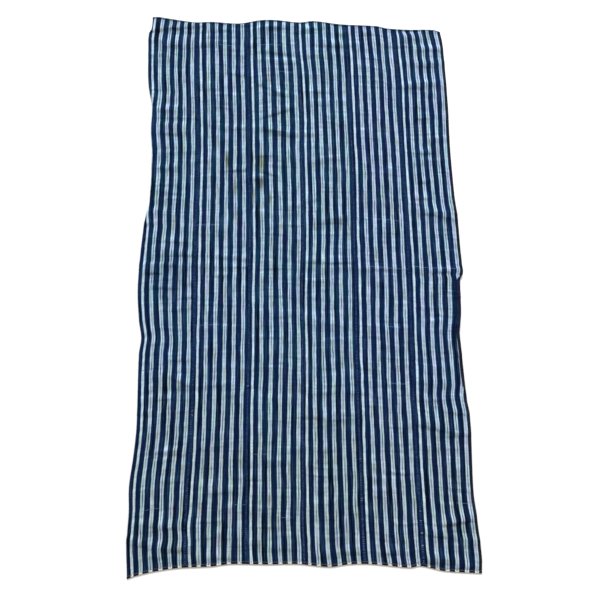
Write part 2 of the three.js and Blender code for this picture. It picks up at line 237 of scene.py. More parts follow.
# Smaller wrinkles, mostly one strip wide, from the far hem to the near one. Each has one steep side, so many
# millimetres wide, which shows as a line at y: dark and facing the near hem where its width is negative, and
# bright and facing the far hem where it is positive
GENTLE_SIDE = 24.0
Wrinkle = namedtuple("Wrinkle", "x y reach height side climb", defaults=(0.0,))
WRINKLES = [
    Wrinkle(-95, 820, 60, 3.2, 12, 0.14),
    Wrinkle(-195, 815, 50, 4.0, -13),
    Wrinkle(28, 813, 34, 3.2, 12),
    Wrinkle(-55, 806, 75, 3.0, -13, 0.1),
    Wrinkle(-385, 805, 95, 5.0, -13, 0.1),
    Wrinkle(300, 798, 34, 3.4, -13),
    Wrinkle(40, 797, 70, 3.0, -13, 0.2),
    Wrinkle(-255, 793, 50, 2.8, -13),
    Wrinkle(430, 791, 45, 2.6, -14),
    Wrinkle(-375, 790, 70, 1.8, -13),
    Wrinkle(350, 788, 44, 2.2, 12),
    Wrinkle(216, 783, 34, 2.8, -13),
    Wrinkle(134, 781, 34, 2.8, -13),
    Wrinkle(-380, 779, 60, 2.4, 12),
    Wrinkle(-470, 770, 40, 2.2, 12),
    Wrinkle(-250, 762, 100, 1.8, 12),
    Wrinkle(340, 757, 75, 2.2, -14, 0.12),
    Wrinkle(178, 757, 44, 1.6, 13),
    Wrinkle(-72, 746, 55, 3.0, 12),
    Wrinkle(425, 744, 55, 2.2, 14),
    Wrinkle(110, 741, 75, 3.6, -16, -0.05),
    Wrinkle(-225, 740, 42, 2.4, 12),
    Wrinkle(-410, 739, 60, 2.6, -15),
    Wrinkle(-325, 738, 60, 1.2, -12),
    Wrinkle(-160, 738, 32, 2.0, -13),
    Wrinkle(318, 738, 60, 2.4, -13, 0.04),
    Wrinkle(228, 728, 34, 1.6, -12),
    Wrinkle(408, 718, 60, 4.0, -18),
    Wrinkle(-470, 718, 60, 1.6, 12),
    Wrinkle(95, 716, 55, 2.0, 12),
    Wrinkle(-70, 712, 85, 3.8, -13, -0.12),
    Wrinkle(-75, 697, 70, 2.8, 11, -0.05),
    Wrinkle(410, 691, 75, 3.0, 14, 0.05),
    Wrinkle(-420, 684, 60, 1.2, -12),
    Wrinkle(-28, 676, 50, 1.8, -12),
    Wrinkle(415, 666, 65, 2.0, -14),
    Wrinkle(-40, 648, 60, 1.6, 11),
    Wrinkle(195, 643, 40, 1.8, 12),
    Wrinkle(-195, 636, 55, 2.4, -9, -0.15),
    Wrinkle(130, 634, 38, 1.5, -12),
    Wrinkle(400, 618, 75, 2.2, 13),
    Wrinkle(-295, 611, 38, 1.8, 13),
    Wrinkle(345, 590, 60, 2.2, -10),
    Wrinkle(-100, 587, 64, 3.8, -9, -0.5),
    Wrinkle(-80, 585, 60, 1.4, 10),
    Wrinkle(-268, 585, 22, 1.9, -10),
    Wrinkle(-460, 583, 34, 2.6, -9),
    Wrinkle(405, 580, 65, 1.7, 10),
    Wrinkle(60, 574, 38, 1.9, -10),
    Wrinkle(-420, 570, 40, 1.0, 10),
    Wrinkle(-62, 565, 68, 1.8, -10, -0.16),
    Wrinkle(-170, 557, 34, 1.4, -9, 0.2),
    Wrinkle(-330, 556, 30, 1.4, -10),
    Wrinkle(-405, 547, 40, 1.4, -10),
    Wrinkle(-110, 541, 40, 1.8, -9, 0.25),
    Wrinkle(92, 532, 70, 1.7, -10),
    Wrinkle(-410, 531, 60, 1.8, 11),
    Wrinkle(-412, 529, 60, 1.4, 10, 0.05),
    Wrinkle(-405, 512, 70, 0.6, -10),
    Wrinkle(412, 504, 60, 1.8, 10),
    Wrinkle(-72, 502, 72, 3.6, -9, 0.35),
    Wrinkle(384, 482, 32, 2.2, -10),
    Wrinkle(-300, 480, 40, 1.2, -10, -0.1),
    Wrinkle(-405, 474, 70, 1.4, 12, -0.05),
    Wrinkle(-405, 472, 60, 1.4, 10, 0.04),
    Wrinkle(-20, 465, 40, 1.6, -12, 0.1),
    Wrinkle(-125, 463, 34, 1.8, 11),
    Wrinkle(130, 462, 44, 1.6, -12, -0.06),
    Wrinkle(370, 455, 40, 1.4, 10, 0.1),
    Wrinkle(202, 454, 26, 1.3, 10),
    Wrinkle(205, 452, 30, 1.6, 12),
    Wrinkle(-200, 447, 60, 1.6, -9, 0.03),
    Wrinkle(-82, 441, 46, 2.2, -10, -0.2),
    Wrinkle(-375, 433, 80, 1.8, -10),
    Wrinkle(60, 430, 60, 1.0, -10),
    Wrinkle(-50, 428, 55, 2.4, -10, -0.1),
    Wrinkle(15, 427, 50, 1.6, -9),
    Wrinkle(435, 426, 50, 2.0, 10, 0.05),
    Wrinkle(-415, 389, 50, 1.0, -8),
    Wrinkle(-415, 376, 50, 1.6, 9),
    Wrinkle(394, 367, 36, 3.1, -10),
    Wrinkle(-105, 359, 60, 2.6, -10),
    Wrinkle(88, 359, 65, 3.0, 12, 0.13),
    Wrinkle(388, 350, 52, 1.6, 10),
    Wrinkle(-300, 341, 60, 1.4, -12, 0.18),
    Wrinkle(-110, 338, 70, 1.2, 10),
    Wrinkle(-412, 328, 52, 1.7, 10),
    Wrinkle(280, 321, 28, 1.6, 10),
    Wrinkle(-410, 316, 66, 1.6, -9, 0.02),
    Wrinkle(-190, 311, 48, 4.2, -9, 0.03),
    Wrinkle(-98, 300, 46, 3.6, -9, -0.35),
    Wrinkle(-110, 295, 40, 1.4, 9, -0.2),
    Wrinkle(-125, 280, 40, 1.2, -10),
    Wrinkle(381, 271, 28, 2.2, -10),
    Wrinkle(-405, 224, 60, 2.4, 10),
    Wrinkle(372, 218, 36, 2.2, -10),
    Wrinkle(60, 200, 40, 1.0, 14),
    Wrinkle(-10, 195, 30, 1.2, -10),
    Wrinkle(380, 194, 36, 1.4, 10),
    Wrinkle(-125, 184, 34, 1.2, 12),
    Wrinkle(-75, 180, 72, 1.8, 10, -0.07),
    Wrinkle(-430, 172, 36, 1.6, -12),
    Wrinkle(418, 163, 62, 2.4, -10, -0.2),
    Wrinkle(100, 163, 65, 1.7, 10, 0.12),
    Wrinkle(256, 154, 54, 1.4, 10),
    Wrinkle(103, 144, 62, 0.8, -10, 0.08),
    Wrinkle(-268, 138, 34, 1.4, 10),
    Wrinkle(-22, 134, 42, 1.6, -10, -0.05),
    Wrinkle(-382, 83, 84, 1.9, -10, -0.08),
    Wrinkle(-356, 65, 34, 1.6, 10),
    Wrinkle(-372, 40, 84, 1.5, -8),
    Wrinkle(120, 40, 100, 1.3, 8),
    Wrinkle(-340, 40, 50, 2.0, -14, -0.05),
    Wrinkle(-198, 30, 100, 1.6, -8, -0.1),
    Wrinkle(-88, 29, 42, 1.3, 8),
    Wrinkle(-425, 20, 62, 2.2, 9),
    Wrinkle(82, 18, 100, 3.4, -9, -0.02),
    Wrinkle(-378, 9, 32, 1.4, -8),
    Wrinkle(250, -2, 120, 0.7, -8),
    Wrinkle(425, -10, 36, 1.6, -8),
    Wrinkle(-440, -13, 40, 2.0, -9),
    Wrinkle(-430, -14, 36, 1.6, -8),
    Wrinkle(278, -15, 32, 1.2, 8),
    Wrinkle(48, -31, 42, 1.3, 8),
    Wrinkle(370, -36, 32, 1.4, 8, -0.3),
    Wrinkle(-330, -48, 26, 1.4, -9),
    Wrinkle(-405, -59, 50, 3.1, -10),
    Wrinkle(385, -66, 56, 1.8, 10, -0.08),
    Wrinkle(-330, -87, 28, 1.2, -10),
    Wrinkle(460, -88, 30, 2.2, -10),
    Wrinkle(-340, -122, 32, 2.3, -10),
    Wrinkle(85, -142, 50, 1.2, -12),
    Wrinkle(-56, -144, 46, 1.6, -10, 0.1),
    Wrinkle(390, -148, 56, 1.9, 10, 0.15),
    Wrinkle(-225, -165, 78, 1.4, 10, -0.05),
    Wrinkle(95, -168, 70, 1.8, -10, -0.2),
    Wrinkle(248, -172, 76, 1.2, 10),
    Wrinkle(455, -172, 40, 2.0, -10, 0.05),
    Wrinkle(-400, -178, 30, 1.4, -10),
    Wrinkle(436, -184, 34, 2.2, -10),
    Wrinkle(-435, -207, 34, 1.7, 10),
    Wrinkle(245, -234, 30, 1.2, -8),
    Wrinkle(0, -245, 44, 1.2, -12),
    Wrinkle(450, -258, 26, 1.8, -10),
    Wrinkle(0, -265, 30, 1.4, -10),
    Wrinkle(-330, -270, 30, 1.2, -14),
    Wrinkle(-360, -272, 32, 1.4, -10),
    Wrinkle(-212, -279, 42, 1.4, 10),
    Wrinkle(45, -281, 22, 1.4, 10),
    Wrinkle(376, -281, 48, 1.7, 10),
    Wrinkle(81, -294, 24, 1.8, -10),
    Wrinkle(-370, -300, 60, 1.4, -14, -0.2),
    Wrinkle(320, -318, 30, 1.2, -8),
    Wrinkle(394, -321, 48, 1.7, 10),
    Wrinkle(-228, -327, 70, 1.6, 10),
    Wrinkle(250, -327, 78, 1.7, 10, -0.08),
    Wrinkle(-347, -330, 64, 2.9, -10, -0.4),
    Wrinkle(-131, -346, 34, 1.6, -10),
    Wrinkle(-335, -352, 40, 1.6, -12),
    Wrinkle(-192, -359, 30, 1.4, 10),
    Wrinkle(158, -365, 30, 2.2, -10),
    Wrinkle(-72, -368, 50, 1.6, 10),
    Wrinkle(428, -402, 46, 1.8, 10),
    Wrinkle(-425, -406, 30, 1.4, 10),
    Wrinkle(450, -420, 50, 1.2, -12, -0.06),
    Wrinkle(-440, -424, 50, 1.4, -9),
    Wrinkle(-10, -430, 40, 1.4, -9),
    Wrinkle(60, -434, 84, 1.6, -10, -0.1),
    Wrinkle(-112, -454, 24, 1.7, 10),
    Wrinkle(-335, -458, 40, 1.6, -12, 0.08),
    Wrinkle(370, -460, 70, 2.6, -12, -0.2),
    Wrinkle(450, -477, 50, 1.4, -14),
    Wrinkle(-225, -480, 26, 1.6, -16),
    Wrinkle(160, -490, 24, 1.4, -16),
    Wrinkle(-275, -494, 24, 1.6, 10),
    Wrinkle(-15, -520, 30, 1.4, -10),
    Wrinkle(-356, -529, 48, 3.1, -10),
    Wrinkle(212, -548, 34, 1.6, 10),
    Wrinkle(-60, -557, 38, 1.0, -10, 0.1),
    Wrinkle(212, -584, 34, 1.6, 10),
    Wrinkle(150, -585, 24, 1.6, -14),
    Wrinkle(-355, -590, 44, 1.6, 11),
    Wrinkle(-150, -594, 80, 2.4, -10, -0.05),
    Wrinkle(62, -607, 28, 1.4, 10),
    Wrinkle(212, -621, 34, 1.6, 10),
    Wrinkle(-228, -631, 50, 1.8, -10, 0.06),
    Wrinkle(-196, -657, 42, 1.4, 10),
    Wrinkle(165, -661, 30, 1.8, -14),
    Wrinkle(-150, -682, 28, 1.7, -12),
    Wrinkle(165, -687, 30, 1.8, -12),
    Wrinkle(-38, -689, 34, 1.6, 12),
    Wrinkle(-438, -690, 34, 2.2, -12),
    Wrinkle(80, -699, 45, 1.6, -10),
    Wrinkle(425, -707, 60, 4.8, -12, 0.15),
    Wrinkle(-368, -719, 66, 2.8, -12, -0.08),
    Wrinkle(-212, -726, 28, 1.6, 12),
    Wrinkle(62, -737, 28, 1.6, 12),
    Wrinkle(465, -741, 40, 2.4, 16),
    Wrinkle(-452, -742, 50, 3.4, 14),
    Wrinkle(372, -742, 66, 3.0, -12, -0.15),
    Wrinkle(-330, -752, 70, 1.4, -12),
    Wrinkle(-122, -761, 38, 1.8, -12),
    Wrinkle(-422, -768, 32, 2.4, -12, -0.25),
    Wrinkle(-62, -776, 40, 2.2, -12),
    Wrinkle(-345, -778, 60, 4.6, -18),
    Wrinkle(150, -784, 50, 2.6, -14),
    Wrinkle(234, -786, 32, 3.5, -12),
    Wrinkle(-378, -795, 44, 2.2, -12),
    Wrinkle(60, -797, 90, 1.4, -12, 0.08),
    Wrinkle(-228, -798, 68, 2.0, -12),
    Wrinkle(-330, -806, 90, 1.4, -12, 0.05),
    Wrinkle(370, -806, 62, 3.2, -14, -0.05),
    Wrinkle(438, -820, 48, 3.0, -12),
]


def read_column(rows, ordering, column, at):
    """A smooth curve through one column of a table, read at places in its ordering column."""
    places = np.array([getattr(row, ordering) for row in rows], float)
    values = np.array([getattr(row, column) for row in rows], float)
    slopes = np.empty(len(rows))
    slopes[1:-1] = (values[2:] - values[:-2]) / (places[2:] - places[:-2])
    slopes[0] = (values[1] - values[0]) / (places[1] - places[0])
    slopes[-1] = (values[-1] - values[-2]) / (places[-1] - places[-2])
    below = np.clip(np.searchsorted(places, at, side="right") - 1, 0, len(rows) - 2)
    span = places[below + 1] - places[below]
    f = np.clip((at - places[below]) / span, 0, 1)
    blend = f * f * (3 - 2 * f)
    leaving = f * (1 - f) ** 2 * span * slopes[below]
    arriving = f * f * (1 - f) * span * slopes[below + 1]
    return values[below] + (values[below + 1] - values[below]) * blend + leaving - arriving


def ridge(distance):
    """A soft ridge's profile: 1 at its crest and 0 from a distance of 1 outwards."""
    q = np.minimum(np.abs(distance), 1)
    return np.cos(math.pi / 2 * q) ** 2


def smooth_step(value, low, high):
    f = np.clip((value - low) / (high - low), 0, 1)
    return f * f * (3 - 2 * f)


def fold_lift(x, y):
    """How far the main folds and the crease lift the cloth off the floor."""
    share = (x + CREASE_HALF_SPAN) / (2 * CREASE_HALF_SPAN)
    crease_y = CREASE_LEFT_Y + (CREASE_RIGHT_Y - CREASE_LEFT_Y) * share
    lift = CREASE_HEIGHT * ridge((y - crease_y) / CREASE_WIDTH)
    for fold in FOLDS:
        crest = fold.y + fold.climb * (x - fold.x)
        lift = lift + fold.height * ridge((x - fold.x) / fold.reach) * ridge((y - crest) / fold.width)
    return lift


def wrinkle_lift(x, y):
    """How far the smaller wrinkles lift the cloth."""
    lift = np.zeros_like(x)
    for wrinkle in WRINKLES:
        crest = wrinkle.y - wrinkle.side / 2 + wrinkle.climb * (x - wrinkle.x)
        past = (y - crest) * math.copysign(1, wrinkle.side)
        steep = abs(wrinkle.side)
        near = (np.abs(x - wrinkle.x) < wrinkle.reach) & (past > -GENTLE_SIDE) & (past < steep)
        across = ridge((x[near] - wrinkle.x) / wrinkle.reach) ** 0.5
        side = np.where(past[near] > 0, steep, GENTLE_SIDE)
        lift[near] += wrinkle.height * across * ridge(past[near] / side)
    return lift


def sway(x, y):
    """How far sideways the cloth has been pulled."""
    shift = np.zeros_like(x)
    for pull in SWAYS:
        shift += pull.shift * ridge((x - pull.x) / pull.reach) * ridge((y - pull.y) / pull.width)
    return shift


def turn(past):
    """How far cloth reaches and rises, and how long its flap is, once it runs on past the start of a turn."""
    angle = np.minimum(past / TURN_RADIUS, math.pi)
    flap = np.maximum(past - math.pi * TURN_RADIUS, 0)
    return TURN_RADIUS * np.sin(angle) - flap, TURN_RADIUS * (1 - np.cos(angle)), flap


def seam_x(index, y):
    return read_column(SEAMS, "y", Seams._fields[index + 1], y)


def in_section(strip, distance, y):
    """Where a strip's middle layer lies in a section at y, for distances from its left side: x and height."""
    if 0 < strip < STRIPS - 1:
        left = seam_x(strip - 1, y) + SEAM_GAP / 2
        right = seam_x(strip, y) - SEAM_GAP / 2
        return left + (right - left) * distance / STRIP_WIDTH, np.zeros_like(y)

    # An outer strip is measured from its seam outwards
    on_left = strip == 0
    edge = LEFT_EDGE if on_left else RIGHT_EDGE
    outwards = -1 if on_left else 1
    from_seam = STRIP_WIDTH - distance if on_left else distance
    start = seam_x(0 if on_left else STRIPS - 2, y) + outwards * SEAM_GAP / 2
    turned = np.maximum(read_column(edge, "y", "turned", y), 0)
    whole_rise, whole_flap = turn(turned)[1:]
    bulge = turn(np.minimum(turned, math.pi / 2 * TURN_RADIUS))[0]
    bend_x = read_column(edge, "y", "x", y) - outwards * bulge
    flat = STRIP_WIDTH - turned
    out, rise, _ = turn(np.maximum(from_seam - flat, 0))
    x = start + (bend_x - start) * np.minimum(from_seam / flat, 1) + outwards * out
    if not on_left:
        return x, rise

    # Turned under, the cloth over the flap is lifted and comes down again further in
    slope_end = flat - whole_flap - FLAP_MARGIN
    return x, whole_rise * smooth_step(from_seam, slope_end - FLAP_SLOPE, slope_end) - rise


def row_y(strip, distance, along):
    """Where a row crosses a strip, between the near hem and the far hem."""
    ends = []
    for hem in (NEAR_HEM, FAR_HEM):
        x = in_section(strip, distance, np.full_like(distance, hem[0].y))[0]
        ends.append(read_column(hem, "x", "y", x))
    return ends[0] + (ends[1] - ends[0]) * along / CLOTH_LENGTH


# Fine relief that only shows from near: the strips stand a little proud between sunken seams, and each has
# its own small ripples, left by the weaver's uneven beat and by washing
SEAM_DIP = 0.7
SEAM_SHOULDER = 8.0
RIPPLES_PER_STRIP = 260
RIPPLE_MARGIN = 20
RIPPLE_REACH = (40, 110)
RIPPLE_WIDTH = (6, 11)
RIPPLE_HEIGHT = (-0.5, 0.9)
RIPPLE_CLIMB = (-0.12, 0.12)
RIPPLE_SEED = 21
HEM_CALM = 10.0


def ripple_lift(strip, distance, along):
    """One strip's small ripples and its shoulders beside the seams."""
    to_seam = np.full_like(distance, STRIP_WIDTH)
    if strip > 0:
        to_seam = np.minimum(to_seam, distance)
    if strip < STRIPS - 1:
        to_seam = np.minimum(to_seam, STRIP_WIDTH - distance)
    shoulder = smooth_step(to_seam, 0, SEAM_SHOULDER)
    lift = SEAM_DIP * shoulder
    dice = random.Random(RIPPLE_SEED + strip)
    for _ in range(RIPPLES_PER_STRIP):
        middle = dice.uniform(RIPPLE_MARGIN, STRIP_WIDTH - RIPPLE_MARGIN)
        crest = dice.uniform(0, CLOTH_LENGTH)
        reach, width = dice.uniform(*RIPPLE_REACH), dice.uniform(*RIPPLE_WIDTH)
        height, climb = dice.uniform(*RIPPLE_HEIGHT), dice.uniform(*RIPPLE_CLIMB)
        slope = along - crest - climb * (distance - middle)
        near = (np.abs(distance - middle) < reach) & (np.abs(slope) < width)
        across = ridge((distance[near] - middle) / reach) * shoulder[near]
        lift[near] += height * across * ridge(slope[near] / width)
    return lift


def lay_points(strip, distance, along):
    """Where points of a strip lie: x, y, the height of its turned selvedge, and its lift in the folds."""
    y = row_y(strip, distance, along)
    x, height = in_section(strip, distance, y)
    off_hem = smooth_step(np.minimum(along, CLOTH_LENGTH - along), 0, HEM_CALM)
    small = (wrinkle_lift(x, y) + ripple_lift(strip, distance, along)) * off_hem
    return x + sway(x, y), y, height, np.maximum(fold_lift(x, y) + small, 0)


# How finely a strip is divided: about 2.4 mm along and 5 mm across, finer over an outer selvedge
STEPS_ALONG = 690
STEPS_ACROSS = 30
EDGE_BAND = 20.0
EDGE_STEPS = 18
PROBE = 0.25
MAP_MARGIN = 2.0


def distance_across(strip, station, stations):
    """A station's distance from the strip's left side: an outer strip has its last ones on its selvedge."""
    if stations == STEPS_ACROSS:
        return STRIP_WIDTH * station / stations
    outer = stations - station if strip == 0 else station
    flat_share = np.minimum(outer / STEPS_ACROSS, 1)
    edge_share = np.maximum((outer - STEPS_ACROSS) / EDGE_STEPS, 0)
    from_seam = (STRIP_WIDTH - EDGE_BAND) * flat_share + EDGE_BAND * edge_share
    return STRIP_WIDTH - from_seam if strip == 0 else from_seam


# A hem is a narrow roll: its rows, as distances from its outer edge, and how thick it is at each
HemRow = namedtuple("HemRow", "distance thickness")
HEM_ROWS = [
    HemRow(0.0, 1.0),
    HemRow(0.4, 1.8),
    HemRow(1.2, 2.4),
    HemRow(2.4, 2.6),
    HemRow(4.6, 2.6),
    HemRow(5.8, 2.3),
    HemRow(6.4, 1.5),
    HemRow(7.2, 1.2),
]


def distance_along(row):
    """A row's distance from the near hem, with rows of their own over each hem."""
    hem_rows = np.array([hem_row.distance for hem_row in HEM_ROWS])
    inner = len(hem_rows) - 1
    share = (row - inner) / (STEPS_ALONG - 2 * inner)
    even = hem_rows[-1] + (CLOTH_LENGTH - 2 * hem_rows[-1]) * share
    from_end = np.minimum(row, STEPS_ALONG - row)
    at_hem = hem_rows[np.minimum(from_end, inner)]
    at_hem = np.where(row < STEPS_ALONG / 2, at_hem, CLOTH_LENGTH - at_hem)
    return np.where(from_end <= inner, at_hem, even)


def thickness_at(along):
    from_end = np.minimum(along, CLOTH_LENGTH - along)
    distances = [hem_row.distance for hem_row in HEM_ROWS]
    return np.interp(from_end, distances, [hem_row.thickness for hem_row in HEM_ROWS])


def thin_box(across, along, name):
    """A thin closed box with a divided face and back, from which a strip is laid out."""
    bm = bmesh.new()
    bmesh.ops.create_grid(bm, x_segments=across, y_segments=along, size=0.5)
    raised = bmesh.ops.extrude_face_region(bm, geom=bm.faces[:], use_keep_orig=True)["geom"]
    verts = [item for item in raised if isinstance(item, bmesh.types.BMVert)]
    bmesh.ops.translate(bm, vec=(0, 0, 1), verts=verts)
    bmesh.ops.recalc_face_normals(bm, faces=bm.faces[:])
    mesh = bpy.data.meshes.new(name)
    bm.to_mesh(mesh)
    bm.free()
    return mesh


def show(mesh, name, *materials):
    """Puts a finished mesh in the scene as one smooth piece."""
    for material in materials:
        mesh.materials.append(material)
    mesh.polygons.foreach_set("use_smooth", np.ones(len(mesh.polygons), bool))
    piece = bpy.data.objects.new(name, mesh)
    bpy.context.scene.collection.objects.link(piece)
    return piece


def lay_strip(strip):
    """One woven strip: a thin closed sheet, laid in its folds, with its woven places as a UV map."""
    outer = strip in (0, STRIPS - 1)
    across = STEPS_ACROSS + (EDGE_STEPS if outer else 0)
    name = f"woven_strip_{strip + 1}"
    mesh = thin_box(across, STEPS_ALONG, name)
    unit = np.empty(len(mesh.vertices) * 3)
    mesh.vertices.foreach_get("co", unit)
    unit = unit.reshape(-1, 3)
    station = np.round((unit[:, 0] + 0.5) * across)
    row = np.round((unit[:, 1] + 0.5) * STEPS_ALONG).astype(int)
    side = np.where(unit[:, 2] > 0.5, 1.0, -1.0)

    distance = distance_across(strip, station, across)
    along = distance_along(row)
    x, y, height, lift = lay_points(strip, distance, along)
    before = in_section(strip, np.maximum(distance - PROBE, 0), y)
    after = in_section(strip, np.minimum(distance + PROBE, STRIP_WIDTH), y)
    run_x = after[0] - before[0]
    run_z = after[1] - before[1]
    run = np.hypot(run_x, run_z)
    half = thickness_at(along) / 2
    z = half + lift + height + side * half * run_x / run
    place = np.stack([x - side * half * run_z / run, y, z], axis=1)
    mesh.vertices.foreach_set("co", (place * MM).ravel())
    write_woven_maps(mesh, distance, along, side)
    mesh.update()
    return show(mesh, name, striped_cotton(strip))


def write_woven_maps(mesh, distance, along, side):
    """The UV map that the stripes follow, in metres across and along the strip and carried on round its
    edges, and one that packs the same places into four columns of a square: face and back, in two halves."""
    corners = np.empty(len(mesh.loops), int)
    mesh.loops.foreach_get("vertex_index", corners)
    on_back = side[corners] < 0
    is_wall = np.repeat(np.abs(side[corners].reshape(-1, 4).sum(axis=1)) < 4, 4)
    wrap = np.where(is_wall & on_back, CLOTH_THICKNESS, 0.0)
    d = distance[corners]
    a = along[corners]
    d = np.where(d <= 0, d - wrap, np.where(d >= STRIP_WIDTH, d + wrap, d))
    a = np.where(a <= 0, a - wrap, np.where(a >= CLOTH_LENGTH, a + wrap, a))
    woven = mesh.uv_layers.new(name="woven")
    woven.uv.foreach_set("vector", (np.stack([d, a], axis=1) * MM).astype(np.float32).ravel())

    middle = a.reshape(-1, 4).mean(axis=1)
    far_half = np.repeat(middle > CLOTH_LENGTH / 2, 4)
    back_face = np.repeat(on_back.reshape(-1, 4).all(axis=1), 4)
    column = far_half + 2 * back_face
    u = (column + (d + MAP_MARGIN) / (STRIP_WIDTH + 2 * MAP_MARGIN)) / 4
    v = (a - far_half * CLOTH_LENGTH / 2 + MAP_MARGIN) / (CLOTH_LENGTH / 2 + 2 * MAP_MARGIN)
    packed = mesh.uv_layers.new(name="OFBake")
    packed.uv.foreach_set("vector", np.stack([u, v], axis=1).astype(np.float32).ravel())
    mesh.uv_layers.active = woven


def woven_place(x, y):
    """The strip that a place on the floor is in, and its distances across and along that strip."""
    at_y = np.array([float(y)])
    strip = sum(seam_x(seam, at_y)[0] < x for seam in range(STRIPS - 1))
    distances = np.linspace(0, STRIP_WIDTH, 321)
    places = in_section(strip, distances, np.full_like(distances, y))[0]
    distance = distances[np.argmin(np.abs(places + sway(places, np.full_like(places, y)) - x))]
    ends = [row_y(strip, np.array([distance]), np.array([end]))[0] for end in (0.0, CLOTH_LENGTH)]
    return strip, distance, (y - ends[0]) / (ends[1] - ends[0]) * CLOTH_LENGTH


def linear(hex_colour):
    """An sRGB hex colour as linear values, with an alpha of 1."""
    values = []
    for start in (1, 3, 5):
        c = int(hex_colour[start : start + 2], 16) / 255
        values.append(c / 12.92 if c <= 0.04045 else ((c + 0.055) / 1.055) ** 2.4)
    return (*values, 1.0)


def add(tree, kind, *inputs, named=(), **settings):
    """Adds a node with its settings; its inputs, in order, are values, or nodes or sockets to link from."""
    made = tree.nodes.new("ShaderNode" + kind)
    for name, value in settings.items():
        setattr(made, name, value)
    slots = [slot for slot in made.inputs if slot.enabled]
    given = list(zip(slots, inputs))
    given += [(made.inputs[name], value) for name, value in dict(named).items()]
    for slot, value in given:
        if isinstance(value, bpy.types.Node):
            value = next(socket for socket in value.outputs if socket.enabled)
        if isinstance(value, bpy.types.NodeSocket):
            tree.links.new(value, slot)
        elif value is not None:
            slot.default_value = value
    return made


def new_tree(material):
    material.use_nodes = True
    material.node_tree.nodes.clear()
    return material.node_tree


# Settings that many nodes share
PRODUCT = {"operation": "MULTIPLY"}
COLOUR_MIX = {"data_type": "RGBA", "clamp_factor": True}
COLOUR_PRODUCT = {**COLOUR_MIX, "blend_type": "MULTIPLY"}


def unevenness(tree, place, across, along, low, high, seed=0.0, detail=2.0):
    """A tone that wanders between two values, in patches so many millimetres across and along the weave."""
    scale = (1 / MM / across, 1 / MM / along, 1)
    stretched = add(tree, "Mapping", place, (seed, seed * 0.37, 0), (0, 0, 0), scale)
    noise = add(tree, "TexNoise", stretched, 1.0, detail, noise_dimensions="2D")
    return add(tree, "MapRange", noise, 0.32, 0.68, low, high)


# The stripes of each strip, in millimetres from its left selvedge: one narrow white stripe, then five wide
# ones, each of two white lines with a thin blue-grey one between. Strips dyed in other vats are greener, or
# redder where the last column is negative
Stripes = namedtuple("Stripes", "narrow first_wide pitch greenness")
STRIPES = [
    Stripes(14.0, 37.8, 26.9, 0.05),
    Stripes(12.9, 36.4, 26.7, -0.1),
    Stripes(13.5, 37.5, 27.6, 0.25),
    Stripes(13.4, 36.5, 26.9, 0.1),
    Stripes(13.4, 37.8, 26.8, -0.6),
    Stripes(13.2, 37.6, 26.9, -0.4),
]
WIDE_STRIPES = 5
NARROW_HALF = 3.5
WIDE_HALF = 5.4
MIDLINE_HALF = 1.2
YARN_STEP = 0.6
SELVEDGE = 2.6
# How far in from the right selvedge its painted shade reaches
SHADED_SIDE = 6.0

# On a hem: the edge of its roll, the line of its thread, which is partly a painted highlight, and how far in
# from its outer edge painted shade reaches, near and far
HEM_ROLL = 5.6
HEM_THREAD_HIGHLIGHT_LINE = 6.6
NEAR_EDGE = 1.0
FAR_EDGE = 4.0

# The relief of a plain weave repeats every two yarns, which are 1.2 mm apart here
WEAVE_REPEAT = 2.4

INDIGO_DEEP = "#0b2146"
INDIGO_TEAL = "#0a2e48"
INDIGO_PLUM = "#151f47"
INDIGO_BLACK = "#050e1c"
INDIGO_FADED = "#2a476c"
SELVEDGE_INDIGO = "#1b3663"
WHITE_SKY = "#abc4db"
WHITE_LAVENDER = "#b1bedb"
WHITE_MINT = "#a8c9cf"
WHITE_GREY = "#a4b5ba"
WHITE_BRIGHT = "#b9d0e2"
EDGE_BLUE = "#3c628c"
PICK_BLUE = "#83a6d4"
MIDLINE_BLUE = "#35516d"
# Painted shade on the far hem's outer edge
HEM_SHADE = "#1b2b3c"
HEM_BLACK = "#1d1611"
# The near hem's thread line, partly a painted highlight where the roll faces the light
HEM_THREAD_HIGHLIGHT = "#4c4450"
HEM_CREAM = "#f6f4e8"
# Painted shade, tinted brown by light off the floor, on the near hem's outer edge
NEAR_EDGE_SHADE = "#66562c"
# Painted shade for the right selvedge
EDGE_SHADE = "#241f1c"
# Painted shade towards the near end: darker and warmer, and less of it in the last two strips
NEAR_END_SHADE = "#fbf6ec"
NEAR_END_SHADE_RIGHT = "#fffbf1"

# Pale weft yarns that show across part of a strip, by their ends and their place along the cloth
PICK_HALF = 0.6
Pick = namedtuple("Pick", "x_from x_to y")
PALE_PICKS = [
    Pick(227, 312, 154),
    Pick(-312, -257, 138),
    Pick(193, 320, 5),
    Pick(330, 470, 4),
    Pick(-306, -236, -166),
    Pick(250, 288, -172),
    Pick(254, 311, -335),
    Pick(-142, -81, -527),
    Pick(427, 474, -656),
    Pick(-178, -148, -659),
    Pick(-423, -382, -671),
    Pick(-54, -22, -692),
    Pick(-68, -12, 650),
    Pick(-32, -6, 752),
    Pick(-260, -208, 744),
    Pick(-130, -62, 748),
]
DARK_PICK = Pick(-453, -399, -293)

